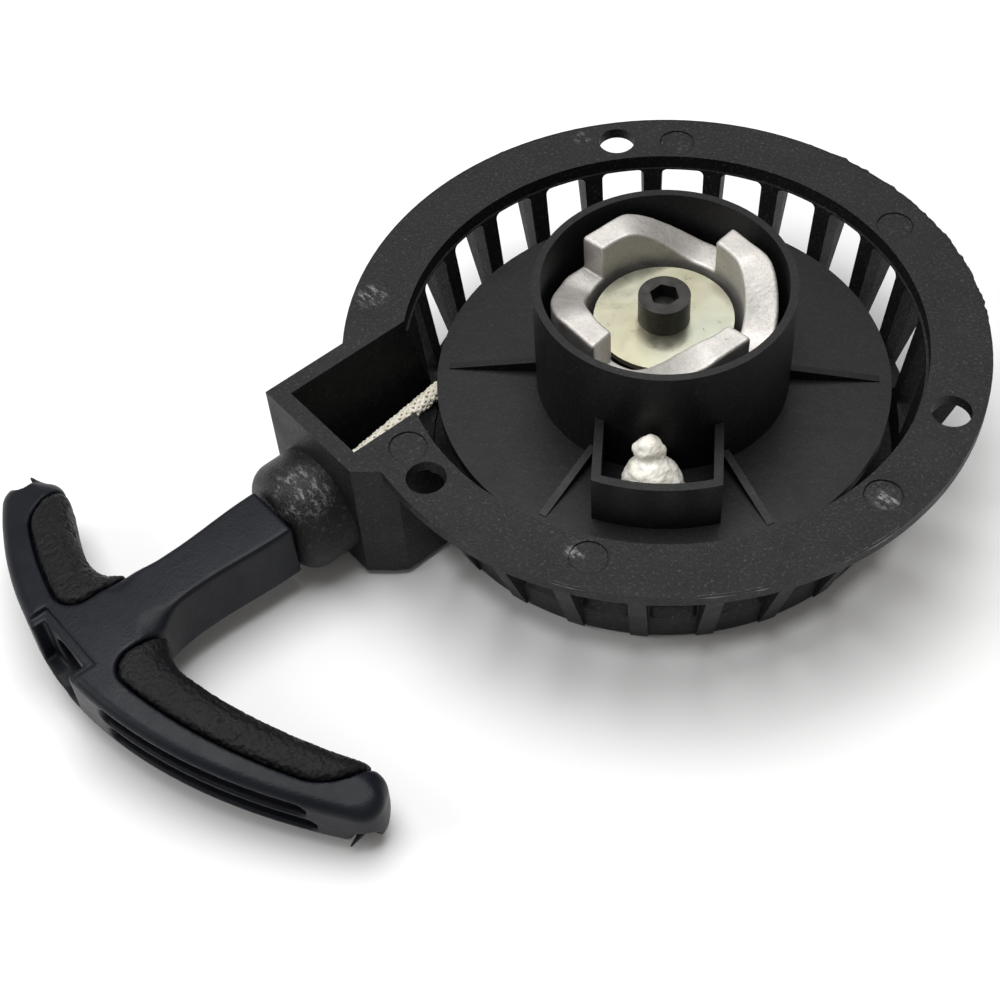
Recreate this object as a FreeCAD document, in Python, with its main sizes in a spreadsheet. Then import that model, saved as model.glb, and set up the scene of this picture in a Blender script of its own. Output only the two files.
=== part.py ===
"""Recoil starter for a small two-stroke engine, as an assembly of separate pieces.

Frame: millimetres, +Z along the reel axis towards the engine. The origin is on the reel axis, at the flange
face that bolts to the engine. The rope leaves through the outlet snout along -X.
"""
import FreeCAD, Part
import math
import os
import Sketcher

Vector = FreeCAD.Vector
Rotation = FreeCAD.Rotation
Placement = FreeCAD.Placement

SIZES = {
    # flange and side wall of the housing
    "flange_outer_radius": 62.5,
    "flange_inner_radius": 50.9,
    "flange_face_height": 0.0,
    "flange_back_height": -2.4,
    "lip_height": -3.0,
    "wall_inner_top_radius": 50.4,
    "wall_inner_low_radius": 46.9,
    "wall_outer_top_radius": 54.0,
    "wall_outer_low_radius": 49.0,
    "wall_low_height": -31.6,
    "closed_axis": 0.0,
    "closed_face_radius": 47.9,
    "closed_face_height": -32.6,
    "floor_height": -30.4,
    "bolt_circle_radius": 56.6,
    "bolt_hole_radius": 3.8,
    "bolt_first_angle": 56.6,
    "bolt_count": 3,
    "pin_mark_radius": 3.65,
    "pin_mark_circle": 55.5,
    "pin_mark_depth": 0.25,
    # vanes and windows of the side wall
    "vane_count": 25,
    "vane_first_angle": 5.9,
    "vane_width": 3.4,
    "vane_root_radius": 47.6,
    "vane_low_radius": 49.4,
    "vane_top_radius": 59.5,
    "vane_top_root_radius": 52.0,
    "window_width": 8.8,
    "window_top_height": -3.2,
    "window_low_height": -24.0,
    "window_corner_radius": 1.2,
    "window_start_radius": 40.0,
    # spring well and centre post of the housing
    "well_outer_radius": 27.0,
    "well_top_height": -23.3,
    "well_recess_radius": 24.5,
    "well_under_height": -25.4,
    "post_radius": 8.0,
    "post_top_height": 3.4,
    "insert_radius": 4.5,
    "insert_low_height": -16.0,
    "thread_radius": 3.0,
    # rope outlet box and snout
    "box_end_outer": -66.0,
    "box_end_inner": -62.6,
    "box_far_outer": 40.7,
    "box_far_inner": 37.1,
    "box_near_inner": 17.2,
    "box_corner_side": 14.1,
    "box_corner_end": -62.2,
    "box_corner_low_side": 10.5,
    "box_near_outer": 8.7,
    "box_near_end": -59.7,
    "box_root": -30.0,
    "box_root_radius": 28.0,
    "box_near_root": -46.0,
    "box_low_height": -31.0,
    "box_floor_height": -29.5,
    "outlet_side": 26.5,
    "outlet_height": -19.3,
    "snout_end": -77.0,
    "snout_radius": 11.5,
    "snout_rim_radius": 4.8,
    "guide_radius": 5.2,
    "guide_bore_radius": 4.0,
    "guide_flange_radius": 7.0,
    "guide_flange_thickness": 1.0,
    # rope reel
    "hub_bore_radius": 8.06,
    "hub_outer_radius": 10.0,
    "hub_top_height": 3.1,
    "drum_inner_radius": 23.5,
    "drum_outer_radius": 25.5,
    "reel_low_height": -23.0,
    "low_flange_radius": 40.0,
    "low_flange_top": -21.4,
    "disc_low_height": -13.6,
    "disc_top_height": -11.4,
    "disc_radius": 44.85,
    "web_low_height": -12.0,
    "web_top_height": -9.0,
    "cup_outer_radius": 25.0,
    "cup_inner_radius": 23.5,
    "cup_top_height": 14.3,
    "gusset_count": 6,
    "gusset_first_angle": 14.7,
    "gusset_thickness": 1.5,
    "gusset_tip_radius": 42.5,
    "gusset_tip_height": -11.2,
    "gusset_top_height": -8.6,
    "gusset_foot_height": -11.9,
    "gusset_root_radius": 24.4,
    "knot_box_angle": -135.3,
    "knot_box_half_width": 12.0,
    "knot_box_outer_radius": 38.9,
    "knot_box_wall": 1.7,
    "knot_radius_on_reel": 30.4,
    "knot_side_on_reel": -1.3,
    "rope_hole_on_reel": 31.0,
    "rope_hole_radius": 2.0,
    # drive ring, washer and screw
    "ring_outer_radius": 21.6,
    "ring_inner_radius": 15.2,
    "tooth_low_height": 5.0,
    "tooth_top_height": 13.0,
    "tooth_count": 4,
    "tooth_face_angle": 7.0,
    "tooth_land_angle": 20.0,
    "washer_radius": 13.5,
    "washer_hole_radius": 3.2,
    "washer_top_height": 4.6,
    "screw_head_radius": 5.0,
    "screw_head_top": 10.6,
    "screw_shank_radius": 2.95,
    "screw_low_height": -14.0,
    "socket_across_flats": 5.0,
    "socket_depth": 3.0,
    # recoil spring
    "spring_thickness": 0.6,
    "spring_inner_radius": 9.2,
    "spring_turns": 7,
    "spring_pitch": 1.8,
    "spring_low_height": -22.7,
    "spring_width": 8.0,
    # rope
    "rope_radius": 1.75,
    "wound_radius": 33.3,
    "wound_inner_radius": 25.8,
    "wound_low_height": -21.1,
    "wound_top_height": -13.9,
    "run_clear_length": 17.0,
    "run_leaving_height": -15.7,
    "guide_entry_side": 28.2,
    "guide_entry_height": -18.3,
    "knot_lump_radius": 4.8,
    "knot_lump_offset": 0.5,
    "knot_lump_height": -6.4,
    "knot_ball_radius": 3.0,
    "knot_ball_height": -0.6,
    "knot_ball_on_reel": 28.7,
    "handle_knot_radius": 3.9,
    # handle
    "stem_start": 77.3,
    "stem_side": 0.8,
    "stem_width": 12.6,
    "stem_height": 13.6,
    "bar_centre": 119.8,
    "bar_apex_side": 2.5,
    "bar_near_reach": 58.0,
    "bar_far_reach": 44.0,
    "bar_curve_radius": 74.6,
    "bar_droop_radius": 306.0,
    "bar_width": 15.0,
    "bar_height": 14.0,
    "bar_tip_width": 12.0,
    "bar_tip_height": 11.0,
    "bar_corner": 3.6,
    "bore_radius": 2.3,
    "knot_seat": 114.0,
    "knot_well_radius": 5.2,
    "notch_wall": 122.0,
    "notch_near_side": 6.5,
    "notch_far_side": -8.5,
    "notch_low": -4.9,
    "pad_stand_off": 0.6,
    "pad_start": 0.18,
    "pad_end": 0.87,
    "knot_washer_radius": 4.4,
    "knot_washer_thickness": 1.2,
}

# the ejector pins' round marks in the flange face, in degrees from +X
PIN_MARK_ANGLES = (43.6, -10.5, -88.4, -147.2, 168.0)

doc = FreeCAD.newDocument("recoil_starter")
sheet = doc.addObject("Spreadsheet::Sheet", "sizes")


def fill_sheet():
    """One row per driving dimension: its name in column A, its number with an alias in column B."""
    for row, (alias, value) in enumerate(SIZES.items(), start=1):
        sheet.set(f"A{row}", alias)
        sheet.set(f"B{row}", str(value))
        sheet.setAlias(f"B{row}", alias)
    doc.recompute()


def number(alias):
    """The value of an alias, or of its opposite when it is written with a leading minus."""
    return -SIZES[alias[1:]] if alias.startswith("-") else float(SIZES[alias])


def formula(alias):
    return f"-sizes.{alias[1:]}" if alias.startswith("-") else f"sizes.{alias}"


# ---- sketches and features ------------------------------------------------------------------------------


def new_body(name):
    body = doc.addObject("PartDesign::Body", name)
    body.Label = name
    return body


def new_sketch(body, name, role, offset=None):
    """A sketch on one of the body's own origin planes."""
    sketch = body.newObject("Sketcher::SketchObject", name)
    plane = next(f for f in body.Origin.OriginFeatures if f.Role == role)
    sketch.AttachmentSupport = [(plane, "")]
    sketch.MapMode = "FlatFace"
    if offset:
        sketch.AttachmentOffset = offset
    return sketch


def pin(sketch, kind, geometry, point, alias):
    """Holds one coordinate of a point to a cell of the sheet."""
    held = sketch.addConstraint(Sketcher.Constraint(kind, -1, 1, geometry, point, number(alias)))
    sketch.setExpression(f"Constraints[{held}]", formula(alias))


def outline(sketch, points):
    """A closed polygon whose corners are pairs of aliases."""
    count = len(points)
    spots = [Vector(number(across), number(up), 0) for across, up in points]
    for k in range(count):
        sketch.addGeometry(Part.LineSegment(spots[k], spots[(k + 1) % count]), False)
    for k in range(count):
        sketch.addConstraint(Sketcher.Constraint("Coincident", k, 2, (k + 1) % count, 1))
    for k, (across, up) in enumerate(points):
        pin(sketch, "DistanceX", k, 1, across)
        pin(sketch, "DistanceY", k, 1, up)


def circle(sketch, across, up, radius):
    """A circle whose centre and radius are aliases."""
    at = Vector(number(across), number(up), 0)
    k = sketch.addGeometry(Part.Circle(at, Vector(0, 0, 1), number(radius)), False)
    held = sketch.addConstraint(Sketcher.Constraint("Radius", k, number(radius)))
    sketch.setExpression(f"Constraints[{held}]", formula(radius))
    pin(sketch, "DistanceX", k, 3, across)
    pin(sketch, "DistanceY", k, 3, up)


def arc_box(sketch, inner, outer, half_width):
    """A strip along +X between two circles about the origin, as wide as twice half_width."""
    ends = []
    for radius in (inner, outer):
        half = math.asin(half_width / radius)
        rim = Part.Circle(Vector(0, 0, 0), Vector(0, 0, 1), radius)
        sketch.addGeometry(Part.ArcOfCircle(rim, -half, half), False)
        ends.append(radius * math.cos(half))
    for side in (-half_width, half_width):
        line = Part.LineSegment(Vector(ends[0], side, 0), Vector(ends[1], side, 0))
        sketch.addGeometry(line, False)
    for arc, end, line in ((0, 1, 2), (1, 1, 2), (0, 2, 3), (1, 2, 3)):
        sketch.addConstraint(Sketcher.Constraint("Coincident", arc, end, line, arc + 1))
    for arc, radius in enumerate((inner, outer)):
        sketch.addConstraint(Sketcher.Constraint("Coincident", arc, 3, -1, 1))
        sketch.addConstraint(Sketcher.Constraint("Radius", arc, radius))
    for line in (2, 3):
        sketch.addConstraint(Sketcher.Constraint("Horizontal", line))


def rounded_window(sketch):
    """The outline of one side window: a rectangle with round corners."""
    half = number("window_width") / 2
    corner = number("window_corner_radius")
    low = number("window_low_height")
    top = number("window_top_height")
    centres = [(half, top, 0), (-half, top, 90), (-half, low, 180), (half, low, 270)]
    for across, up, start in centres:
        at = Vector(across - math.copysign(corner, across), up + (corner if up == low else -corner), 0)
        rim = Part.Circle(at, Vector(0, 0, 1), corner)
        sketch.addGeometry(Part.ArcOfCircle(rim, math.radians(start), math.radians(start + 90)), False)
    for k in range(4):
        start = sketch.Geometry[k].EndPoint
        end = sketch.Geometry[(k + 1) % 4].StartPoint
        sketch.addGeometry(Part.LineSegment(start, end), False)
    for k in range(4):
        sketch.addConstraint(Sketcher.Constraint("Tangent", k, 2, 4 + k, 1))
        sketch.addConstraint(Sketcher.Constraint("Tangent", 4 + k, 2, (k + 1) % 4, 1))
        held = sketch.addConstraint(Sketcher.Constraint("Radius", k, corner))
        sketch.setExpression(f"Constraints[{held}]", "sizes.window_corner_radius")
    pin(sketch, "DistanceY", 4, 1, "window_top_height")
    pin(sketch, "DistanceY", 6, 1, "window_low_height")


def revolve(body, name, points, kind="Revolution"):
    sketch = new_sketch(body, f"{name}_outline", "XZ_Plane")
    outline(sketch, points)
    turned = body.newObject(f"PartDesign::{kind}", name)
    turned.Profile = sketch
    turned.ReferenceAxis = (sketch, ["V_Axis"])
    turned.Angle = 360
    doc.recompute()
    return turned


def pull(body, kind, name, sketch, length, reversed_way=False, middle=False):
    """A pad or pocket of the sketch, whose length is a number or an expression."""
    feature = body.newObject(f"PartDesign::{kind}", name)
    feature.Profile = sketch
    feature.Reversed = reversed_way
    feature.Midplane = middle
    if isinstance(length, str):
        feature.setExpression("Length", length)
    else:
        feature.Length = length
    doc.recompute()
    return feature


def around(body, feature, name, count):
    """Repeats a feature round the Z axis."""
    pattern = body.newObject("PartDesign::PolarPattern", name)
    pattern.Originals = [feature]
    axis = next(f for f in body.Origin.OriginFeatures if f.Role == "Z_Axis")
    pattern.Axis = (axis, [""])
    pattern.Angle = 360
    pattern.setExpression("Occurrences", count)
    body.Tip = pattern
    doc.recompute()
    return pattern


def turned_about_z(role, degrees, reach=0.0):
    """The attachment offset that turns an upright origin plane about Z and moves it out by reach."""
    angle = math.radians(degrees)
    if role == "YZ_Plane":
        return Placement(Vector(reach * math.sin(angle), 0, reach * math.cos(angle)),
                         Rotation(Vector(0, 1, 0), degrees))
    return Placement(Vector(0, 0, 0), Rotation(Vector(0, 1, 0), degrees))


def cylinder(radius, low, high, at=(0, 0)):
    return Part.makeCylinder(radius, high - low, Vector(at[0], at[1], low))


def plain(name, shape):
    """A sub-part whose shape is made with Part's own functions."""
    feature = doc.addObject("Part::Feature", name)
    feature.Label = name
    feature.Shape = shape
    return feature


# ---- housing and what is fixed to it --------------------------------------------------------------------


def make_housing():
    body = new_body("housing")
    revolve(body, "shell", [
        ("closed_axis", "well_under_height"),
        ("well_recess_radius", "well_under_height"),
        ("well_recess_radius", "closed_face_height"),
        ("closed_face_radius", "closed_face_height"),
        ("wall_outer_low_radius", "wall_low_height"),
        ("wall_outer_top_radius", "flange_back_height"),
        ("flange_outer_radius", "flange_back_height"),
        ("flange_outer_radius", "flange_face_height"),
        ("flange_inner_radius", "flange_face_height"),
        ("flange_inner_radius", "lip_height"),
        ("wall_inner_top_radius", "lip_height"),
        ("wall_inner_low_radius", "floor_height"),
        ("well_outer_radius", "floor_height"),
        ("well_outer_radius", "well_top_height"),
        ("post_radius", "well_top_height"),
        ("post_radius", "post_top_height"),
        ("insert_radius", "post_top_height"),
        ("insert_radius", "insert_low_height"),
        ("closed_axis", "insert_low_height"),
    ])

    vane = new_sketch(body, "vane_outline", "XZ_Plane", turned_about_z("XZ_Plane", number("vane_first_angle")))
    outline(vane, [
        ("vane_root_radius", "wall_low_height"),
        ("vane_low_radius", "wall_low_height"),
        ("vane_top_radius", "flange_back_height"),
        ("vane_top_root_radius", "flange_back_height"),
    ])
    pad = pull(body, "Pad", "vane", vane, "sizes.vane_width", middle=True)
    around(body, pad, "vanes", "sizes.vane_count")

    half_pitch = 180 / number("vane_count")
    reach = number("window_start_radius")
    window = new_sketch(body, "window_outline", "YZ_Plane",
                        turned_about_z("YZ_Plane", number("vane_first_angle") + half_pitch, reach))
    rounded_window(window)
    cut = pull(body, "Pocket", "window", window, reach, reversed_way=True)
    around(body, cut, "windows", "sizes.vane_count")

    box = new_sketch(body, "box_outline", "XY_Plane")
    outline(box, [
        ("box_end_outer", "box_far_outer"),
        ("box_end_outer", "box_corner_side"),
        ("box_corner_end", "box_corner_low_side"),
        ("box_near_end", "box_near_outer"),
        ("box_near_root", "box_near_outer"),
        ("box_root", "box_near_inner"),
        ("box_root", "box_far_outer"),
    ])
    pull(body, "Pad", "outlet_box", box, "-sizes.box_low_height", reversed_way=True)
    revolve(body, "reel_space", [
        ("box_root_radius", "floor_height"),
        ("wall_inner_low_radius", "floor_height"),
        ("wall_inner_top_radius", "lip_height"),
        ("flange_inner_radius", "lip_height"),
        ("flange_inner_radius", "flange_face_height"),
        ("box_root_radius", "flange_face_height"),
    ], kind="Groove")

    snout = new_sketch(body, "snout_outline", "YZ_Plane",
                       Placement(Vector(0, 0, number("box_near_end")), Rotation()))
    circle(snout, "outlet_side", "outlet_height", "snout_radius")
    pull(body, "Pad", "snout", snout, "sizes.box_near_end - sizes.snout_end", reversed_way=True)

    pocket = new_sketch(body, "pocket_outline", "XY_Plane")
    outline(pocket, [
        ("box_end_inner", "box_near_inner"),
        ("box_end_inner", "box_far_inner"),
        ("box_root", "box_far_inner"),
        ("box_root", "box_near_inner"),
    ])
    pull(body, "Pocket", "outlet_pocket", pocket, "-sizes.box_floor_height")

    bore = new_sketch(body, "guide_bore_outline", "YZ_Plane",
                      Placement(Vector(0, 0, number("snout_end")), Rotation()))
    circle(bore, "outlet_side", "outlet_height", "guide_radius")
    pull(body, "Pocket", "guide_bore", bore, "sizes.box_end_inner - sizes.snout_end", reversed_way=True)

    hole = new_sketch(body, "bolt_hole_outline", "XY_Plane",
                      Placement(Vector(), Rotation(Vector(0, 0, 1), number("bolt_first_angle"))))
    circle(hole, "bolt_circle_radius", "closed_axis", "bolt_hole_radius")
    drilled = pull(body, "Pocket", "bolt_hole", hole, "sizes.vane_width * 2")
    around(body, drilled, "bolt_holes", "sizes.bolt_count")

    marks = new_sketch(body, "pin_mark_outline", "XY_Plane")
    for degrees in PIN_MARK_ANGLES:
        angle = math.radians(degrees)
        reach = number("pin_mark_circle")
        at = Vector(reach * math.cos(angle), reach * math.sin(angle), 0)
        marks.addGeometry(Part.Circle(at, Vector(0, 0, 1), number("pin_mark_radius")), False)
    pull(body, "Pocket", "pin_marks", marks, "sizes.pin_mark_depth")

    bored = body.Tip
    rims = [f"Edge{k}" for k, edge in enumerate(bored.Shape.Edges, start=1)
            if isinstance(edge.Curve, Part.Circle)
            and abs(edge.Curve.Radius - number("snout_radius")) < 1e-6
            and abs(edge.Curve.Center.x - number("snout_end")) < 1e-6]
    rounding = body.newObject("PartDesign::Fillet", "snout_rounding")
    rounding.Base = (bored, rims)
    rounding.setExpression("Radius", "sizes.snout_rim_radius")
    doc.recompute()
    return body


def make_post_insert():
    body = new_body("post_insert")
    revolve(body, "insert", [
        ("thread_radius", "insert_low_height"),
        ("insert_radius", "insert_low_height"),
        ("insert_radius", "post_top_height"),
        ("thread_radius", "post_top_height"),
    ])
    return body


def make_retaining_washer():
    body = new_body("retaining_washer")
    revolve(body, "washer", [
        ("washer_hole_radius", "post_top_height"),
        ("washer_radius", "post_top_height"),
        ("washer_radius", "washer_top_height"),
        ("washer_hole_radius", "washer_top_height"),
    ])
    return body


def make_centre_screw():
    body = new_body("centre_screw")
    revolve(body, "screw", [
        ("closed_axis", "screw_low_height"),
        ("screw_shank_radius", "screw_low_height"),
        ("screw_shank_radius", "washer_top_height"),
        ("screw_head_radius", "washer_top_height"),
        ("screw_head_radius", "screw_head_top"),
        ("closed_axis", "screw_head_top"),
    ])
    socket = new_sketch(body, "socket_outline", "XY_Plane",
                        Placement(Vector(0, 0, number("screw_head_top")), Rotation()))
    reach = number("socket_across_flats") / math.sqrt(3)
    corners = [Vector(reach * math.cos(math.radians(60 * k)), reach * math.sin(math.radians(60 * k)), 0)
               for k in range(6)]
    for k in range(6):
        socket.addGeometry(Part.LineSegment(corners[k], corners[(k + 1) % 6]), False)
    for k in range(6):
        socket.addConstraint(Sketcher.Constraint("Coincident", k, 2, (k + 1) % 6, 1))
    pull(body, "Pocket", "socket", socket, "sizes.socket_depth")
    return body


def make_rope_guide():
    """An eyelet bush in the snout, with a flange inside the outlet box."""
    side = number("outlet_side")
    height = number("outlet_height")
    inner = number("box_end_inner")
    outer = number("snout_end")

    def tube(radius, start, length):
        return Part.makeCylinder(radius, length, Vector(start, side, height), Vector(1, 0, 0))

    sleeve = tube(number("guide_radius"), outer, inner - outer)
    flange = tube(number("guide_flange_radius"), inner, number("guide_flange_thickness"))
    bore = tube(number("guide_bore_radius"), outer - 1, inner - outer + 4)
    return plain("rope_guide", sleeve.fuse(flange).cut(bore).removeSplitter())


def make_recoil_spring():
    """A flat strip wound in half circles that grow by half a pitch each; its ends hook the post and drum."""
    pitch = number("spring_pitch")
    thick = number("spring_thickness")
    radius = number("spring_inner_radius")
    low = number("spring_low_height")

    def half_turns(start):
        arcs = []
        for k in range(2 * int(number("spring_turns"))):
            reach = start + k * pitch / 2
            side = 1 if k % 2 == 0 else -1
            centre = Vector(0 if side > 0 else pitch / 2, 0, low)
            arc = Part.Arc(centre + Vector(side * reach, 0, 0), centre + Vector(0, side * reach, 0),
                           centre - Vector(side * reach, 0, 0))
            arcs.append(arc.toShape())
        return arcs

    inner = half_turns(radius)
    outer = half_turns(radius + thick)
    ends = [Part.makeLine(inner[0].Vertexes[0].Point, outer[0].Vertexes[0].Point),
            Part.makeLine(inner[-1].Vertexes[-1].Point, outer[-1].Vertexes[-1].Point)]
    strip = Part.Face(Part.Wire(Part.__sortEdges__(inner + outer + ends)))
    return plain("recoil_spring", strip.extrude(Vector(0, 0, number("spring_width"))))


# ---- reel and what turns with it ------------------------------------------------------------------------


def make_rope_reel():
    body = new_body("rope_reel")
    revolve(body, "pulley", [
        ("hub_bore_radius", "web_low_height"),
        ("drum_inner_radius", "web_low_height"),
        ("drum_inner_radius", "reel_low_height"),
        ("low_flange_radius", "reel_low_height"),
        ("low_flange_radius", "low_flange_top"),
        ("drum_outer_radius", "low_flange_top"),
        ("drum_outer_radius", "disc_low_height"),
        ("disc_radius", "disc_low_height"),
        ("disc_radius", "disc_top_height"),
        ("cup_outer_radius", "disc_top_height"),
        ("cup_outer_radius", "cup_top_height"),
        ("cup_inner_radius", "cup_top_height"),
        ("cup_inner_radius", "web_top_height"),
        ("hub_outer_radius", "web_top_height"),
        ("hub_outer_radius", "hub_top_height"),
        ("hub_bore_radius", "hub_top_height"),
    ])
    gusset = new_sketch(body, "gusset_outline", "XZ_Plane",
                        turned_about_z("XZ_Plane", number("gusset_first_angle")))
    outline(gusset, [
        ("gusset_root_radius", "gusset_foot_height"),
        ("gusset_tip_radius", "gusset_foot_height"),
        ("gusset_tip_radius", "gusset_tip_height"),
        ("gusset_root_radius", "gusset_top_height"),
    ])
    pad = pull(body, "Pad", "gusset", gusset, "sizes.gusset_thickness", middle=True)
    around(body, pad, "gussets", "sizes.gusset_count")

    turn = Rotation(Vector(0, 0, 1), number("knot_box_angle"))
    half = number("knot_box_half_width")
    wall = number("knot_box_wall")
    outer_radius = number("knot_box_outer_radius")
    block = new_sketch(body, "knot_box_outline", "XY_Plane", Placement(Vector(0, 0, 0), turn))
    arc_box(block, number("gusset_root_radius"), outer_radius, half)
    pull(body, "Pad", "knot_box", block, "-sizes.gusset_foot_height", reversed_way=True)
    well = new_sketch(body, "knot_well_outline", "XY_Plane", Placement(Vector(0, 0, 0), turn))
    arc_box(well, number("cup_outer_radius"), outer_radius - wall, half - wall)
    pull(body, "Pocket", "knot_well", well, "-sizes.disc_top_height")
    hole = new_sketch(body, "rope_hole_outline", "XY_Plane", Placement(Vector(0, 0, 0), turn))
    circle(hole, "rope_hole_on_reel", "closed_axis", "rope_hole_radius")
    pull(body, "Pocket", "rope_hole", hole, "-sizes.disc_low_height + sizes.knot_box_wall")
    return body


def make_drive_ring():
    """A cast ring whose four saw teeth rise counter-clockwise to a flat land and end in an upright face."""
    base = number("web_top_height")
    low = number("tooth_low_height")
    top = number("tooth_top_height")
    inner = number("ring_inner_radius")
    outer = number("ring_outer_radius")
    ring = cylinder(outer, base, low).cut(cylinder(inner, base - 1, low + 1))
    band = cylinder(outer, base, top + 1).cut(cylinder(inner, base - 1, top + 2))
    pitch = 360 / number("tooth_count")
    land = number("tooth_land_angle")
    steps = 5

    def wall(degrees, height):
        angle = math.radians(degrees)
        across = Vector(math.cos(angle), math.sin(angle), 0)
        return Part.makePolygon([across * (inner - 1) + Vector(0, 0, low - 1),
                                 across * (outer + 4) + Vector(0, 0, low - 1),
                                 across * (outer + 4) + Vector(0, 0, height),
                                 across * (inner - 1) + Vector(0, 0, height),
                                 across * (inner - 1) + Vector(0, 0, low - 1)])

    for k in range(int(number("tooth_count"))):
        face = number("tooth_face_angle") + k * pitch
        foot = face - pitch + 1
        ramp = face - land - foot
        sections = [wall(foot + ramp * n / steps, low + (top - low) * n / steps) for n in range(steps + 1)]
        sections += [wall(face - land / 2, top), wall(face, top)]
        ring = ring.fuse(Part.makeLoft(sections, True, True).common(band))
    return plain("drive_ring", ring.removeSplitter())


def make_rope_wound():
    """The outer shape of the rope's turns on the drum."""
    low = number("wound_low_height")
    top = number("wound_top_height")
    reach = number("wound_radius") + number("rope_radius")
    coil = cylinder(reach, low, top).cut(cylinder(number("wound_inner_radius"), low - 1, top + 1))
    return plain("rope_wound", coil)


def make_reel_knot():
    """The rope's melted inner end: a wide lump on the disc, a small ball on it and a stub down the hole."""
    angle = math.radians(number("knot_box_angle"))
    outward = Vector(math.cos(angle), math.sin(angle), 0)
    sideways = Vector(-math.sin(angle), math.cos(angle), 0)
    shift = sideways * number("knot_side_on_reel")
    at = outward * number("knot_radius_on_reel") + shift
    floor = number("disc_top_height")
    radius = number("knot_lump_radius")
    centre = at + Vector(0, 0, number("knot_lump_height"))
    offset = sideways * number("knot_lump_offset")
    lump = Part.makeSphere(radius, centre + offset).fuse(Part.makeSphere(radius, centre - offset))
    top = outward * number("knot_ball_on_reel") + shift + Vector(0, 0, number("knot_ball_height"))
    ball = Part.makeSphere(number("knot_ball_radius"), top)
    under = cylinder(3 * radius, floor - radius, floor, (at.x, at.y))
    hole = outward * number("rope_hole_on_reel")
    stub = cylinder(number("rope_radius"), number("wound_top_height"), floor + radius, (hole.x, hole.y))
    return plain("reel_knot", lump.fuse(ball).cut(under).fuse(stub).removeSplitter())


# ---- rope and handle ------------------------------------------------------------------------------------


def make_rope_run():
    """The rope from the coil through the outlet and the handle's bore to the outer knot."""
    side = number("outlet_side")
    height = number("outlet_height")
    wound = number("wound_radius")
    entry = Vector(number("box_end_inner"), number("guide_entry_side"), number("guide_entry_height"))
    slope = math.asin(wound / math.hypot(entry.x, entry.y)) - math.atan2(entry.y, -entry.x)
    along = Vector(-math.cos(slope), -math.sin(slope), 0)
    touch = Vector(-wound * math.sin(slope), wound * math.cos(slope), number("run_leaving_height"))
    start = touch + along * number("run_clear_length")
    straight = Vector(-number("stem_start") - 2, side, height)
    finish = Vector(-number("knot_seat") - number("knot_washer_thickness"), side, height)
    bend = Part.BSplineCurve()
    bend.interpolate(Points=[start, (start + entry) * 0.5, entry, straight],
                     InitialTangent=entry - start, FinalTangent=(finish - straight) * 0.5)
    path = Part.Wire([bend.toShape(), Part.makeLine(straight, finish)])
    section = Part.Wire(Part.makeCircle(number("rope_radius"), start, entry - start))
    run = path.makePipeShell([section], True, False)
    share = run.Volume / (math.pi * number("rope_radius") ** 2 * path.Length)
    print("rope run length", round(path.Length, 1), "volume share", round(share, 4))
    return plain("rope_run", run)


def handle_point(outward, side, up):
    """A point given from the rope's axis: outward from the reel, to the near side and up."""
    return Vector(-outward, number("outlet_side") - side, number("outlet_height") + up)


def rounded_section(centre, across, up, width, height, corner):
    """A rectangle with round corners, across and up being its two unit directions."""
    edges = []
    spots = []
    for turn in range(4):
        away = across if turn % 2 == 0 else up
        next_way = up if turn % 2 == 0 else across
        sign = 1 if turn < 2 else -1
        next_sign = 1 if turn in (0, 3) else -1
        size = width if turn % 2 == 0 else height
        next_size = height if turn % 2 == 0 else width
        edge_mid = centre + away * (sign * size / 2)
        ahead = next_way * next_sign
        spots.append((edge_mid - ahead * (next_size / 2 - corner), edge_mid + ahead * (next_size / 2 - corner),
                      away * sign, ahead, next_size, size))
    for k in range(4):
        start, end, away, ahead, _, _ = spots[k]
        edges.append(Part.makeLine(start, end))
        following = spots[(k + 1) % 4][0]
        pivot = end - away * corner
        bulge = pivot + (away + ahead).normalize() * corner
        edges.append(Part.Arc(end, bulge, following).toShape())
    return Part.Wire(edges)


def bar_frame(share):
    """Centre, outward and upward directions of the handle's curved bar, share running from -1 to 1."""
    away = share * number("bar_near_reach" if share > 0 else "bar_far_reach")
    sweep = away / number("bar_curve_radius")
    droop = away / number("bar_droop_radius")
    centre = handle_point(number("bar_centre") - sweep * away / 2, number("bar_apex_side") + away,
                          -droop * away / 2)
    along = Vector(sweep, -1, -droop).normalize()
    outward = Vector(-1, 0, 0)
    outward = (outward - along * outward.dot(along)).normalize()
    return centre, outward, outward.cross(along)


def bar_size(share):
    """Width and height of the bar: it narrows to the arms' ends, which are rounded off."""
    taper = abs(share) ** 1.5
    width = number("bar_width") + (number("bar_tip_width") - number("bar_width")) * taper
    height = number("bar_height") + (number("bar_tip_height") - number("bar_height")) * taper
    close = math.sqrt(max(0.0, 1 - max(0.0, (abs(share) - 0.9) / 0.115) ** 2))
    return width * close, height * close


def bar_loft(shares, shift=0.0, width_share=1.0, extra=0.0):
    sections = []
    for share in shares:
        centre, outward, up = bar_frame(share)
        width, height = bar_size(share)
        middle = centre + outward * (shift * width)
        corner = min(number("bar_corner"), 0.3 * width * width_share, 0.3 * height)
        sections.append(rounded_section(middle, outward, up, width * width_share + extra, height + extra,
                                        corner))
    return Part.makeLoft(sections, True, False)


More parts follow.
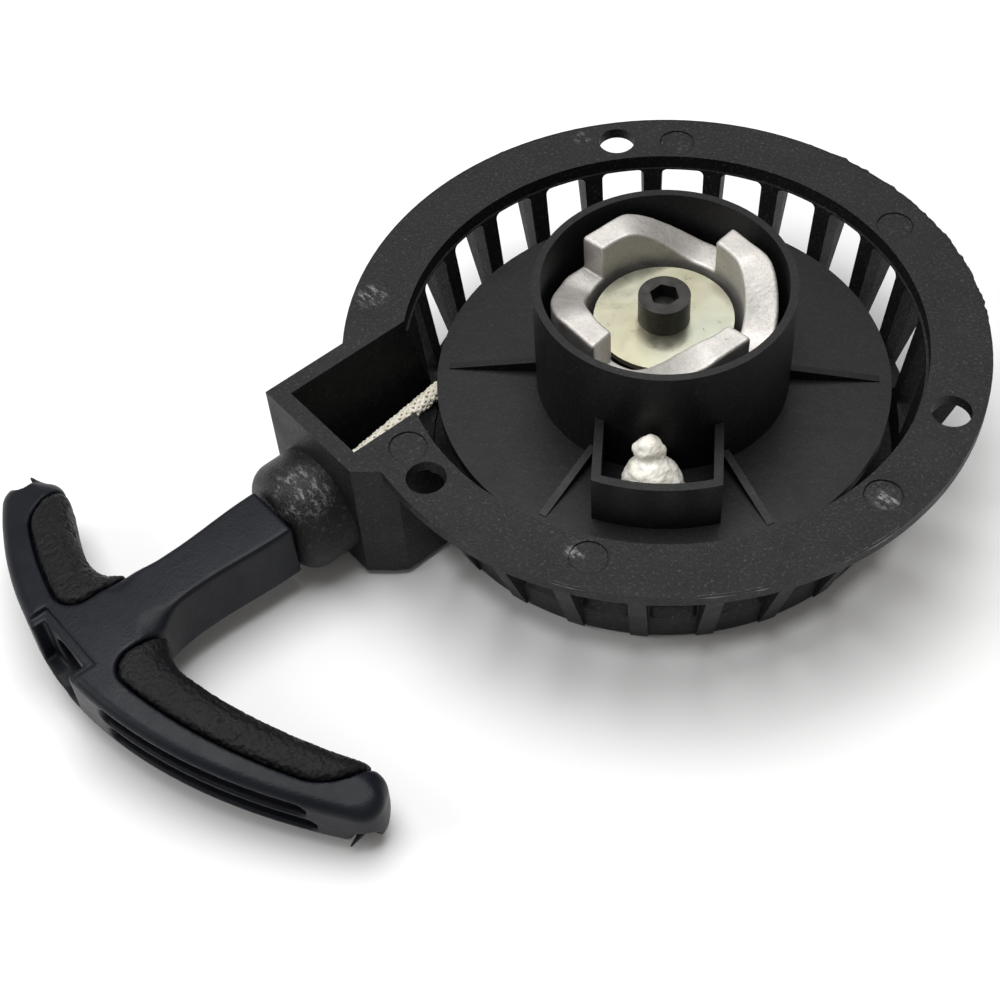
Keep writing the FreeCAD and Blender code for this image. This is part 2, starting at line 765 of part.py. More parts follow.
def make_handle():
    """The T-handle with its grip pads: returns the handle and the two pads."""
    bar = bar_loft([-1.0, -0.97, -0.9, -0.7, -0.45, -0.2, 0.0, 0.2, 0.45, 0.7, 0.9, 0.97, 1.0])
    stem_sections = []
    height = number("stem_height")
    stem_side = number("stem_side")
    for share, widen in ((0.0, 1.0), (0.4, 0.92), (0.7, 1.12), (1.0, 2.1)):
        at = number("stem_start") + share * (number("bar_centre") - 3 - number("stem_start"))
        stem_sections.append(rounded_section(handle_point(at, stem_side, 0), Vector(0, 1, 0), Vector(0, 0, 1),
                                             number("stem_width") * widen, height, 1.6))
    stem = Part.makeLoft(stem_sections, True, False)
    solid = bar.fuse(stem)
    start = number("stem_start")
    seat = number("knot_seat")
    wall = number("notch_wall")
    outward = Vector(-1, 0, 0)
    bore = Part.makeCylinder(number("bore_radius"), seat - start + 2, handle_point(start - 1, 0, 0), outward)
    well = Part.makeCylinder(number("knot_well_radius"), wall - seat + 1, handle_point(seat, 0, 0), outward)
    near = number("notch_near_side")
    low = number("notch_low")
    notch = Part.makeBox(20, near - number("notch_far_side"), 20, handle_point(wall + 20, near, low))
    solid = solid.cut(bore).cut(well).cut(notch)
    pads = []
    first = number("pad_start")
    last = number("pad_end")
    for name, side in (("grip_pad_far", -1), ("grip_pad_near", 1)):
        shares = [side * (first + (last - first) * k / 5) for k in range(6)]
        pad = bar_loft(shares, shift=-0.27, width_share=0.46, extra=2 * number("pad_stand_off"))
        pad = pad.cut(stem)
        solid = solid.cut(pad)
        pads.append((name, pad))
    handle = plain("handle", solid.removeSplitter())
    return [handle] + [plain(name, pad) for name, pad in pads]


def make_knot_washer():
    floor = number("knot_seat")
    disc = Part.makeCylinder(number("knot_washer_radius"), number("knot_washer_thickness"),
                             handle_point(floor, 0, 0), Vector(-1, 0, 0))
    hole = Part.makeCylinder(number("rope_hole_radius"), 4, handle_point(floor - 1, 0, 0), Vector(-1, 0, 0))
    return plain("knot_washer", disc.cut(hole))


def make_handle_knot():
    """The rope's outer knot, a rounded lump flat against its washer."""
    face = number("knot_seat") + number("knot_washer_thickness")
    radius = number("handle_knot_radius")
    lump = Part.makeCylinder(radius, 1.6 * radius, handle_point(face, 0, 0), Vector(-1, 0, 0))
    rims = [edge for edge in lump.Edges if isinstance(edge.Curve, Part.Circle)
            and edge.Curve.Center.x < -face - radius]
    return plain("handle_knot", lump.makeFillet(0.7 * radius, rims))


# ---- assembly -------------------------------------------------------------------------------------------


def check_document():
    for item in doc.Objects:
        if "Invalid" in item.State or "Error" in item.State:
            raise RuntimeError(f"{item.Name} failed: {item.State}")


def write_parts(pieces):
    os.makedirs("parts", exist_ok=True)
    for piece in pieces:
        shape = piece.Shape
        if shape.isNull() or not shape.isValid() or not shape.Solids:
            raise RuntimeError(f"{piece.Label} has no valid solid")
        print(f"{piece.Label:18s} solids {len(shape.Solids)} volume {shape.Volume:10.1f}")
        shape.exportStep(f"parts/{piece.Label}.step")


fill_sheet()
pieces = [
    make_housing(),
    make_post_insert(),
    make_retaining_washer(),
    make_centre_screw(),
    make_rope_guide(),
    make_recoil_spring(),
    make_rope_reel(),
    make_drive_ring(),
    make_rope_wound(),
    make_reel_knot(),
    make_rope_run(),
    *make_handle(),
    make_knot_washer(),
    make_handle_knot(),
]
doc.recompute()
check_document()
write_parts(pieces)
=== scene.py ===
import math

import bpy
import numpy as np
from mathutils import Matrix, Vector, noise


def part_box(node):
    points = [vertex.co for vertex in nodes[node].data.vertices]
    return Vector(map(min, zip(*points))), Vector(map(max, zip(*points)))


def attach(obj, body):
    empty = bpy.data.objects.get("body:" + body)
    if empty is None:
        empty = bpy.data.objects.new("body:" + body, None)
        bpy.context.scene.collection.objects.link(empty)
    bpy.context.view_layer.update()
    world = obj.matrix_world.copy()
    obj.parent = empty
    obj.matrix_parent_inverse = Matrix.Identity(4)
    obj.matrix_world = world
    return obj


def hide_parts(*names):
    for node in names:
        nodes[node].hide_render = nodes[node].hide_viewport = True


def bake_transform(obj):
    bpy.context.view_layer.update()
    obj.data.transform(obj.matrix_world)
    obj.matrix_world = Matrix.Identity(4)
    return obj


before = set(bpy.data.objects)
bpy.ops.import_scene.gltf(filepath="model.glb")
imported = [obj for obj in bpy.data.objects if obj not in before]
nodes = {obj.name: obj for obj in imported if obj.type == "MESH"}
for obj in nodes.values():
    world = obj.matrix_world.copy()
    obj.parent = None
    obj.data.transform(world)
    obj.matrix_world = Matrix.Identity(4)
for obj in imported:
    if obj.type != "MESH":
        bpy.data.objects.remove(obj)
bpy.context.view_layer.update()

MM = 0.001

# ---------------------------------------------------------------------------------------------------------
# Materials
# ---------------------------------------------------------------------------------------------------------


class Recipe:
    """A node material under construction: short calls that add and link shader nodes."""

    def __init__(self, name):
        self.material = bpy.data.materials.new(name)
        self.material.use_nodes = True
        self.tree = self.material.node_tree
        self.tree.nodes.clear()
        self.out = self.add("ShaderNodeOutputMaterial")
        self.shader = self.add("ShaderNodeBsdfPrincipled")
        self.link(self.shader, "BSDF", self.out, "Surface")
        self.coords = self.add("ShaderNodeTexCoord")

    def add(self, kind, **settings):
        node = self.tree.nodes.new(kind)
        for key, value in settings.items():
            setattr(node, key, value)
        return node

    def link(self, source, output, target, entry):
        self.tree.links.new(source.outputs[output], target.inputs[entry])

    def value(self, entry, number):
        self.shader.inputs[entry].default_value = number

    def noise(self, scale, detail=4.0, rough=0.55, stretch=None, distortion=0.0):
        """Noise in object space, scale in features per metre; stretch squeezes it along each axis."""
        node = self.add("ShaderNodeTexNoise")
        node.inputs["Scale"].default_value = scale
        node.inputs["Detail"].default_value = detail
        node.inputs["Roughness"].default_value = rough
        node.inputs["Distortion"].default_value = distortion
        if stretch:
            mapping = self.add("ShaderNodeMapping")
            mapping.inputs["Scale"].default_value = stretch
            self.link(self.coords, "Object", mapping, "Vector")
            self.link(mapping, "Vector", node, "Vector")
        else:
            self.link(self.coords, "Object", node, "Vector")
        return node

    def voronoi(self, scale, feature="F1", randomness=1.0):
        node = self.add("ShaderNodeTexVoronoi", feature=feature)
        node.inputs["Scale"].default_value = scale
        node.inputs["Randomness"].default_value = randomness
        self.link(self.coords, "Object", node, "Vector")
        return node

    def ramp(self, source, output, stops, interpolation="LINEAR"):
        """Maps a factor to colours; a stop is (place, grey) or (place, (r, g, b))."""
        node = self.add("ShaderNodeValToRGB")
        node.color_ramp.interpolation = interpolation
        elements = node.color_ramp.elements
        while len(elements) < len(stops):
            elements.new(0.5)
        for element, (place, colour) in zip(elements, stops):
            element.position = place
            tone = (colour,) * 3 if isinstance(colour, (int, float)) else colour
            element.color = (*tone, 1.0)
        self.link(source, output, node, "Fac")
        return node

    def mix(self, factor, first, second):
        """Mixes two colours; each is a node with a Color output or an (r, g, b)."""
        node = self.add("ShaderNodeMix", data_type="RGBA")
        self.tree.links.new(factor.outputs[0], node.inputs["Factor"])
        for entry, source in ((6, first), (7, second)):
            if isinstance(source, tuple):
                node.inputs[entry].default_value = (*source, 1.0)
            else:
                output = source.outputs.get("Color") or source.outputs[2]
                self.tree.links.new(output, node.inputs[entry])
        return node

    def math(self, kind, first, second):
        """Arithmetic on two factors; each is a node or a number."""
        node = self.add("ShaderNodeMath", operation=kind)
        for entry, source in enumerate((first, second)):
            if isinstance(source, (int, float)):
                node.inputs[entry].default_value = source
            else:
                self.tree.links.new(source.outputs[0], node.inputs[entry])
        return node

    def colour(self, source):
        output = source.outputs.get("Color") or source.outputs[2]
        self.tree.links.new(output, self.shader.inputs["Base Color"])

    def roughness(self, source):
        self.tree.links.new(source.outputs[0], self.shader.inputs["Roughness"])

    def bump(self, height, strength, distance, previous=None):
        """Bump of a height factor, distance in metres, stacked on an earlier bump."""
        node = self.add("ShaderNodeBump")
        node.inputs["Strength"].default_value = strength
        node.inputs["Distance"].default_value = distance
        self.tree.links.new(height.outputs[0], node.inputs["Height"])
        if previous:
            self.link(previous, "Normal", node, "Normal")
        self.link(node, "Normal", self.shader, "Normal")
        return node


PALE_SPECK = (0.09, 0.09, 0.095)
PALE_SCRAPE = (0.13, 0.13, 0.135)
PALE_SCRATCH = (0.3, 0.3, 0.31)
RUBBED_SHINE = 0.2


def near(mat, place, reach):
    """A factor that is 1 at a place in the part's frame (millimetres) and fades to 0 at the reach."""
    offset = mat.add("ShaderNodeVectorMath", operation="DISTANCE")
    mat.link(mat.coords, "Object", offset, 0)
    offset.inputs[1].default_value = tuple(MM * value for value in place)
    fade = mat.add("ShaderNodeMapRange", interpolation_type="SMOOTHSTEP")
    mat.link(offset, "Value", fade, "Value")
    fade.inputs["From Min"].default_value = 0.25 * reach * MM
    fade.inputs["From Max"].default_value = reach * MM
    fade.inputs["To Min"].default_value = 1.0
    fade.inputs["To Max"].default_value = 0.0
    return fade


def moulded(name, dark, light, rough, grain, specular=0.4, scuffs=0.0, speckle=0.0, rubbed=(), marks=()):
    """Moulded plastic: grain depths (fine, coarse) in metres, slow mottling, scuffs and pale specks.

    Rubbed and marks are (place, reach) in millimetres: shiny worn skin, and patches of pale scratches.
    """
    mat = Recipe(name)
    mat.value("Specular IOR Level", specular)
    mottle = mat.noise(90, 6, 0.6)
    tone = mat.ramp(mottle, "Fac", [(0.3, dark), (0.72, light)])
    if speckle:
        dots = mat.noise(1500, 4, 0.7)
        mask = mat.ramp(dots, "Fac", [(0.56, 0.0), (0.7, speckle)])
        tone = mat.mix(mask, tone, PALE_SPECK)
    if scuffs:
        scrapes = mat.noise(230, 10, 0.76, stretch=(1, 1.7, 1))
        mask = mat.ramp(scrapes, "Fac", [(0.665, 0.0), (0.76, scuffs)])
        tone = mat.mix(mask, tone, PALE_SCRAPE)
    scratches = mat.ramp(mat.noise(900, 8, 0.78, stretch=(1, 0.35, 1)), "Fac", [(0.5, 0.0), (0.64, 1.0)])
    for place, reach in marks:
        worn = mat.math("MULTIPLY", scratches, near(mat, place, reach))
        tone = mat.mix(worn, tone, PALE_SCRATCH)
    mat.colour(tone)
    patches = mat.noise(140, 5, 0.6)
    dull = mat.ramp(patches, "Fac", [(0.3, rough - 0.08), (0.7, rough + 0.08)])
    for place, reach in rubbed:
        shine = mat.math("MULTIPLY", near(mat, place, reach), RUBBED_SHINE)
        dull = mat.math("SUBTRACT", dull, shine)
    mat.roughness(dull)
    fine, coarse = grain
    first = mat.bump(mat.noise(1900, 4, 0.65), 0.8, fine)
    mat.bump(mat.noise(420, 5, 0.6), 0.6, coarse, first)
    return mat.material


def cast_metal(name):
    """Raw die-cast metal: warm grey, dull skin with fine dark specks and a few pits."""
    mat = Recipe(name)
    mat.value("Metallic", 0.72)
    cloud = mat.noise(130, 6, 0.6)
    tone = mat.ramp(cloud, "Fac", [(0.28, (0.47, 0.445, 0.42)), (0.5, (0.55, 0.53, 0.505)),
                                   (0.74, (0.61, 0.59, 0.56))])
    specks = mat.ramp(mat.noise(2400, 3, 0.7), "Fac", [(0.5, 0.0), (0.68, 0.55)])
    tone = mat.mix(specks, tone, (0.33, 0.315, 0.3))
    pits = mat.voronoi(700)
    pit_mask = mat.ramp(pits, "Distance", [(0.07, 1.0), (0.17, 0.0)])
    rare = mat.ramp(mat.noise(400, 3, 0.5), "Fac", [(0.56, 0.0), (0.64, 0.8)])
    mat.colour(mat.mix(mat.math("MULTIPLY", pit_mask, rare), tone, (0.13, 0.12, 0.11)))
    mat.roughness(mat.ramp(mat.noise(350, 5, 0.6), "Fac", [(0.3, 0.52), (0.7, 0.66)]))
    grain = mat.bump(mat.noise(2600, 4, 0.65), 0.5, 0.00005)
    mat.bump(mat.noise(700, 4, 0.6), 0.3, 0.00008, grain)
    return mat.material


def plated_zinc(name):
    """Yellow-zinc plating: pale straw shading to a grey-green haze, faintly brushed, with a few stains."""
    mat = Recipe(name)
    mat.value("Metallic", 1.0)
    cloud = mat.noise(45, 3, 0.5)
    tone = mat.ramp(cloud, "Fac", [(0.32, (0.52, 0.49, 0.34)), (0.5, (0.56, 0.55, 0.43)),
                                   (0.68, (0.52, 0.55, 0.46))])
    stains = mat.ramp(mat.noise(900, 4, 0.7), "Fac", [(0.62, 0.0), (0.74, 0.5)])
    mat.colour(mat.mix(stains, tone, (0.3, 0.3, 0.22)))
    mat.roughness(mat.ramp(mat.noise(420, 6, 0.65), "Fac", [(0.3, 0.26), (0.7, 0.36)]))
    mat.bump(mat.noise(1800, 3, 0.6, stretch=(1, 3, 1)), 0.2, 0.00002)
    return mat.material


def dark_metal(name, tone, rough):
    """Black-oxide or blued steel with worn, slightly lighter patches."""
    mat = Recipe(name)
    mat.value("Metallic", 0.85)
    cloud = mat.noise(320, 6, 0.6)
    lighter = tuple(2.1 * channel for channel in tone)
    mat.colour(mat.ramp(cloud, "Fac", [(0.35, tone), (0.75, lighter)]))
    mat.roughness(mat.ramp(mat.noise(600, 5, 0.6), "Fac", [(0.3, rough - 0.08), (0.7, rough + 0.1)]))
    mat.bump(mat.noise(2200, 3, 0.5), 0.3, 0.00003)
    return mat.material


def braid_fibre(name):
    """Off-white nylon yarn: fine filaments, with darker, warmer patches in a random cloud."""
    mat = Recipe(name)
    mat.value("Sheen Weight", 0.35)
    mat.value("Sheen Roughness", 0.5)
    mat.value("Roughness", 0.62)
    cloud = mat.noise(500, 5, 0.6)
    mat.colour(mat.ramp(cloud, "Fac", [(0.3, (0.55, 0.49, 0.36)), (0.5, (0.76, 0.72, 0.61)),
                                       (0.75, (0.86, 0.83, 0.75))]))
    mat.bump(mat.noise(5200, 3, 0.6), 0.5, 0.00005)
    return mat.material


DARK_BELOW_EDGE = 0.8
KNOT_DARK_BELOW = -7.6


def melted_nylon(name, dark_below_height=None):
    """Fused rope end: cream and waxy, darker olive-brown patches below a height in millimetres when one is
    given.
    """
    mat = Recipe(name)
    mat.value("Subsurface Weight", 0.12)
    mat.value("Subsurface Scale", 0.003)
    mat.value("Subsurface Radius", (1.0, 0.85, 0.6))
    cloud = mat.noise(330, 5, 0.6)
    tone = mat.ramp(cloud, "Fac", [(0.3, (0.86, 0.8, 0.66)), (0.5, (0.94, 0.91, 0.82)),
                                   (0.8, (0.96, 0.95, 0.9))])
    # Olive-brown patches darken the knot towards the bottom, below the given height.
    if dark_below_height is not None:
        split = mat.add("ShaderNodeSeparateXYZ")
        mat.link(mat.coords, "Object", split, "Vector")
        low = mat.add("ShaderNodeMapRange")
        mat.link(split, "Z", low, "Value")
        low.inputs["From Min"].default_value = (dark_below_height + DARK_BELOW_EDGE) * MM
        low.inputs["From Max"].default_value = (dark_below_height - DARK_BELOW_EDGE) * MM
        blotches = mat.ramp(mat.noise(420, 5, 0.65), "Fac", [(0.42, 0.0), (0.56, 0.85)])
        tone = mat.mix(mat.math("MULTIPLY", low, blotches), tone, (0.27, 0.22, 0.1))
    mat.colour(tone)
    mat.roughness(mat.ramp(mat.noise(700, 4, 0.6), "Fac", [(0.3, 0.25), (0.7, 0.42)]))
    mat.bump(mat.noise(1500, 4, 0.6), 0.3, 0.00008)
    return mat.material


COLLAR_TOP = (-72, 26, -10)
PIN_SHINE = (1.3, -55.3, 0)
SCUFFS = [((-71.7, 23.5, -10.5), 7.0), ((-35.3, 46.9, 0), 4.0), ((26.6, 52.9, 0), 2.5),
          ((1.3, -56.5, 0), 3.2), ((-47.5, -27.5, 0), 2.6)]

MATERIALS = {
    "housing": moulded("housing_nylon", (0.0072, 0.0073, 0.0084), (0.0113, 0.0114, 0.0128), 0.5,
                       (0.00026, 0.00018), 0.24, scuffs=0.5, speckle=0.6,
                       rubbed=[(COLLAR_TOP, 12), (PIN_SHINE, 4)],
                       marks=SCUFFS),
    "reel": moulded("reel_nylon", (0.005, 0.0051, 0.006), (0.0082, 0.0083, 0.0093), 0.46,
                    (0.00004, 0.00009), 0.24, speckle=0.2),
    "handle": moulded("handle_plastic", (0.005, 0.0058, 0.009), (0.008, 0.0092, 0.0135), 0.4,
                      (0.00009, 0.0001), 0.17, scuffs=0.2),
    "pad": moulded("pad_rubber", (0.004, 0.0042, 0.005), (0.007, 0.0073, 0.0085), 0.4,
                   (0.0003, 0.0002), 0.17),
    # The flash material's pale grey is a painted highlight, the light the burrs catch along the flange's
    # edge.
    "flash": moulded("flash_painted_highlight", 0.05, 0.2, 0.4, (0.0001, 0.0001), 0.5),
    "ring": cast_metal("cast_ring"),
    "zinc": plated_zinc("zinc_washer"),
    "oxide": dark_metal("black_oxide", (0.03, 0.029, 0.028), 0.36),
    "spring": dark_metal("spring_steel", (0.14, 0.16, 0.19), 0.3),
    "bright": dark_metal("guide_steel", (0.5, 0.5, 0.48), 0.3),
    "braid": braid_fibre("rope_nylon"),
    "melt": melted_nylon("melted_rope_end"),
    "knot": melted_nylon("melted_rope_knot", KNOT_DARK_BELOW),
}

NODE_MATERIALS = {
    "housing": "housing",
    "rope_reel": "reel",
    "drive_ring": "ring",
    "retaining_washer": "zinc",
    "centre_screw": "oxide",
    "post_insert": "bright",
    "rope_guide": "bright",
    "recoil_spring": "spring",
    "rope_wound": "braid",
    "rope_run": "braid",
    "reel_knot": "melt",
    "handle": "handle",
    "grip_pad_far": "pad",
    "grip_pad_near": "pad",
    "knot_washer": "zinc",
    "handle_knot": "melt",
}


def dress(piece, key):
    piece.data.materials.clear()
    piece.data.materials.append(MATERIALS[key])


for node, key in NODE_MATERIALS.items():
    dress(nodes[node], key)

SOFT_EDGES = {"housing": 0.32, "rope_reel": 0.22, "retaining_washer": 0.12, "centre_screw": 0.25}
SHARP_ANGLE = math.radians(38)


def soften(piece, width):
    """Rounds the sharp edges that a mould or a tool leaves, width in millimetres."""
    bevel = piece.modifiers.new("soft_edges", "BEVEL")
    bevel.width = width * MM
    bevel.segments = 2
    bevel.limit_method = "ANGLE"
    bevel.angle_limit = SHARP_ANGLE
    bevel.use_clamp_overlap = True
    bevel.harden_normals = True


for node, width in SOFT_EDGES.items():
    soften(nodes[node], width)

# ---------------------------------------------------------------------------------------------------------
# Shapes held as signed distances on a grid, in millimetres of the part's frame, negative inside
# ---------------------------------------------------------------------------------------------------------

CORNERS = [(i, j, k) for i in (0, 1) for j in (0, 1) for k in (0, 1)]
UNIT = np.eye(3, dtype=int)


class Grid:
    def __init__(self, low, high, step):
        self.low = np.array(low, float)
        self.step = step
        axes = [start + step * np.arange(int(math.ceil((end - start) / step)) + 1)
                for start, end in zip(low, high)]
        self.x, self.y, self.z = np.meshgrid(*axes, indexing="ij", sparse=True)
        self.shape = tuple(len(axis) for axis in axes)

    def surface(self, distance):
        """Points and quads of the closed surface where the distances change sign (a surface net)."""
        distance = np.broadcast_to(distance, self.shape)
        inside = distance < 0
        size = np.array(self.shape) - 1
        count = np.zeros(size, np.int8)
        for i, j, k in CORNERS:
            count += inside[i:i + size[0], j:j + size[1], k:k + size[2]]
        cells = np.argwhere((count > 0) & (count < len(CORNERS)))
        number = np.full(size, -1)
        number[tuple(cells.T)] = np.arange(len(cells))
        total = np.zeros((len(cells), 3))
        hits = np.zeros(len(cells))
        for along in UNIT:
            for corner in CORNERS:
                if np.dot(corner, along):
                    continue
                start = cells + corner
                near = distance[tuple(start.T)]
                far = distance[tuple((start + along).T)]
                crossing = (near < 0) != (far < 0)
                share = near / np.where(crossing, near - far, 1)
                total += (np.array(corner) + share[:, None] * along) * crossing[:, None]
                hits += crossing
        points = self.low + self.step * (cells + total / hits[:, None])
        faces = []
        for axis, along in enumerate(UNIT):
            across, up = UNIT[(axis + 1) % 3], UNIT[(axis + 2) % 3]
            behind = inside[tuple(slice(0, n - step) for n, step in zip(self.shape, along))]
            ahead = inside[tuple(slice(step, n) for n, step in zip(self.shape, along))]
            for flip, mask in ((False, behind & ~ahead), (True, ahead & ~behind)):
                at = np.argwhere(mask)
                ring = [number[tuple((at - away).T)] for away in (0 * along, across, across + up, up)]
                faces.append(np.stack(ring[::-1] if flip else ring, axis=1))
        return points, np.concatenate(faces)


def smoothstep(start, end, value):
    share = np.clip((value - start) / (end - start), 0, 1)
    return share * share * (3 - 2 * share)


def union(first, second, blend=0.0):
    """Nearest of two distances, with a fillet about as wide as blend."""
    if not blend:
        return np.minimum(first, second)
    share = np.clip(0.5 + 0.5 * (second - first) / blend, 0, 1)
    return second + (first - second) * share - blend * share * (1 - share)


def common(first, second, blend=0.0):
    return -union(-first, -second, blend)


def rounded(first, second, radius):
    """Both distances at once, with a round edge of that radius between them."""
    a, b = first + radius, second + radius
    return np.minimum(np.maximum(a, b), 0) + np.hypot(np.maximum(a, 0), np.maximum(b, 0)) - radius


def between(value, low, high):
    return np.abs(value - (low + high) / 2) - (high - low) / 2


def ball(grid, centre, radius):
    x, y, z = centre
    return np.sqrt((grid.x - x) ** 2 + (grid.y - y) ** 2 + (grid.z - z) ** 2) - radius


def spike(grid, start, end, thick, thin):
    """A pointed sliver from start to end."""
    start, end = np.array(start, float), np.array(end, float)
    way = end - start
    off = [grid.x - start[0], grid.y - start[1], grid.z - start[2]]
    share = np.clip(sum(o * w for o, w in zip(off, way)) / np.dot(way, way), 0, 1)
    reach = np.sqrt(sum((o - share * w) ** 2 for o, w in zip(off, way)))
    return reach - (thick + (thin - thick) * share)


def build(name, points, faces, material):
    """A smooth-shaded object from points in millimetres."""
    return show(name, points, faces, material, True)


def show(name, points, faces, material, smooth):
    """An object from points in millimetres and faces of any size."""
    mesh = bpy.data.meshes.new(name)
    mesh.from_pydata((np.asarray(points) * MM).tolist(), [], [tuple(map(int, face)) for face in faces])
    if smooth:
        mesh.shade_smooth()
    mesh.materials.append(MATERIALS[material])
    piece = bpy.data.objects.new(name, mesh)
    bpy.context.scene.collection.objects.link(piece)
    return piece


def normals(points, faces):
    """Outward unit directions at the points of a quad surface."""
    first = points[faces[:, 2]] - points[faces[:, 0]]
    second = points[faces[:, 3]] - points[faces[:, 1]]
    face = np.cross(first, second)
    total = np.zeros_like(points)
    for corner in range(4):
        np.add.at(total, faces[:, corner], face)
    return total / np.maximum(np.linalg.norm(total, axis=1), 1e-9)[:, None]


def relax(points, faces, rounds, share=0.5):
    """Moves each point part of the way to the middle of its neighbours."""
    for _ in range(rounds):
        total = np.zeros_like(points)
        hits = np.zeros(len(points))
        for corner in range(4):
            here, after = faces[:, corner], faces[:, (corner + 1) % 4]
            np.add.at(total, here, points[after])
            np.add.at(hits, here, 1)
            np.add.at(total, after, points[here])
            np.add.at(hits, after, 1)
        points = points + share * (total / hits[:, None] - points)
    return points


def ruffle(points, faces, depth, size, seed, ridged=False):
    """Raises and lowers a surface by noise, depth and size in millimetres."""
    lift = np.array([noise.noise(Vector(p) / size + Vector((seed, 0, 0))) for p in points])
    if ridged:
        lift = 0.5 - 2 * np.abs(lift)
    return points + normals(points, faces) * (depth * lift)[:, None]


# ---------------------------------------------------------------------------------------------------------
# Handle: coordinates u outward from the reel, v to the near side and w up, from the rope's axis
# ---------------------------------------------------------------------------------------------------------

ROPE_SIDE, ROPE_HEIGHT = 26.5, -19.3
BAR_CENTRE, BAR_APEX, BAR_CURVE, BAR_DROOP = 119.8, 2.5, 74.6, 306.0
BAR_HALF_WIDTH, BAR_WIDTH_LOSS = 7.4, 2.2
BAR_HALF_HEIGHT, BAR_HEIGHT_LOSS = 7.0, 1.5
BAR_TIP_ROUND = 5.0
NEAR_REACH, FAR_REACH = 57.6, 43.8
STEM_START, STEM_END, STEM_SIDE = 77.4, 112, 0.8
STEM_HALF_WIDTH, STEM_WAIST = 6.3, 0.9
STEM_FILLET = 13.0
HANDLE_STEP = 0.32
PAD_GAP, PAD_DEPTH, PAD_PROUD, PAD_CORNER = 0.45, 2.0, 0.45, 5.0
PAD_PLACES = {"grip_pad_near": (6.6, 51.3, 1.1), "grip_pad_far": (-36.8, -8.6, 0.7)}
CHANNEL_SPANS = ((11.5, 50.0), (-37.0, -12.5))
CHANNEL_ROWS = ((4.4, 0.0), (9.6, 1.2))
CHANNEL_HALF_HEIGHT, CHANNEL_DEPTH = 2.0, 2.7
LEDGE_SIDES, LEDGE_WALL, LEDGE_DEPTH = (-9.6, 7.4), 121.9, 1.0
NOTCH_SIDES, NOTCH_WALL, NOTCH_FLOOR = (-7.7, 5.7), 123.6, -4.6
WELL_RADIUS, WELL_SEAT, BORE_RADIUS = 5.2, 114.0, 2.3
TIP_CHIPS = (((103.4, 60.6, -9.4), 3.0), ((109.2, -40.8, 0.6), 2.4))
TIP_SLIVERS = (((101.5, 59.0, -7.6), (105.6, 58.9, -10.4), 0.9, 0.25),
               ((106.2, -39.6, 1.0), (106.7, -41.8, 1.8), 0.8, 0.35))


def handle_to_part(points):
    """Turns handle coordinates into the part's frame."""
    return points * (-1, -1, 1) + (0, ROPE_SIDE, ROPE_HEIGHT)


class HandleShape:
    """Distances of the T-handle without its details, and the coordinates its details are placed by."""

    def __init__(self, grid):
        u, v, w = grid.x, grid.y, grid.z
        self.grid = grid
        self.away = v - BAR_APEX
        slope = self.away / BAR_CURVE
        share = np.abs(self.away) / NEAR_REACH
        half_width = BAR_HALF_WIDTH - BAR_WIDTH_LOSS * share ** 1.6
        half_height = BAR_HALF_HEIGHT - BAR_HEIGHT_LOSS * share ** 1.5
        drop = self.away ** 2 / (2 * BAR_DROOP)
        self.across = (u - (BAR_CENTRE - self.away * slope / 2)) / np.sqrt(1 + slope ** 2)
        self.outer = self.across - half_width
        self.below_top = half_height - drop - w
        self.height = 2 * half_height
        bar = np.abs(self.across) - half_width
        for reach, side in ((NEAR_REACH, 1), (FAR_REACH, -1)):
            lean = math.atan(reach / BAR_CURVE)
            middle = BAR_CENTRE - reach ** 2 / (2 * BAR_CURVE)
            end = (self.away * side - reach) * math.cos(lean) - (u - middle) * math.sin(lean)
            bar = common(bar, end, BAR_TIP_ROUND)
        half_stem = STEM_HALF_WIDTH - STEM_WAIST * smoothstep(80, 97, u)
        stem = common(np.abs(v - STEM_SIDE) - half_stem, u - STEM_END)
        plan = common(union(bar, stem, STEM_FILLET), STEM_START - u)
        at_stem = smoothstep(111, 103, u) * smoothstep(15, 10, np.abs(v - STEM_SIDE))
        radius = 2.2 + 1.8 * smoothstep(1, -3, self.across)
        radius = radius + (0.9 - radius) * at_stem
        self.body = rounded(plan, np.abs(w + drop) - half_height, radius)

    def pad_region(self, start, end, edge):
        """Distance in plan of a grip pad that covers the bar's inner side between two places along it."""
        return rounded(between(self.away, start, end), self.across - edge, PAD_CORNER)


def handle_piece(shape):
    """The moulded T: pad recesses, two channels on each arm's outer side, notch, knot well and bore."""
    grid = shape.grid
    u, v, w = grid.x, grid.y, grid.z
    solid = shape.body
    for start, end, edge in PAD_PLACES.values():
        recess = common(shape.pad_region(start, end, edge) - PAD_GAP, -(shape.body + PAD_DEPTH + 0.3))
        solid = common(solid, -recess, 0.5)
    scale = shape.height / (2 * BAR_HALF_HEIGHT)
    for start, end in CHANNEL_SPANS:
        for middle, shift in CHANNEL_ROWS:
            high = np.abs(shape.below_top - middle * scale) - CHANNEL_HALF_HEIGHT * scale
            deep = np.abs(shape.outer) - CHANNEL_DEPTH
            reach = between(shape.away - math.copysign(shift, start), start, end)
            channel = rounded(rounded(high, deep, 1.3), reach, 1.6)
            solid = common(solid, -channel, 0.7)
    ledge = common(common(between(v, *LEDGE_SIDES), LEDGE_WALL - u), shape.below_top - LEDGE_DEPTH)
    notch = rounded(common(between(v, *NOTCH_SIDES), NOTCH_WALL - u), NOTCH_FLOOR - w, 0.8)
    from_rope = np.hypot(v, w)
    well = common(from_rope - WELL_RADIUS, WELL_SEAT - u)
    for cut in (ledge, notch, well):
        solid = common(solid, -cut, 0.5)
    solid = common(solid, BORE_RADIUS - from_rope)
    for centre, radius in TIP_CHIPS:
        solid = common(solid, -ball(grid, centre, radius), 0.4)
    for start, end, thick, thin in TIP_SLIVERS:
        solid = union(solid, spike(grid, start, end, thick, thin), 0.6)
    points, faces = grid.surface(solid)
    points = relax(points, faces, 2, 0.35)
    return build("handle_moulding", handle_to_part(points), faces, "handle")


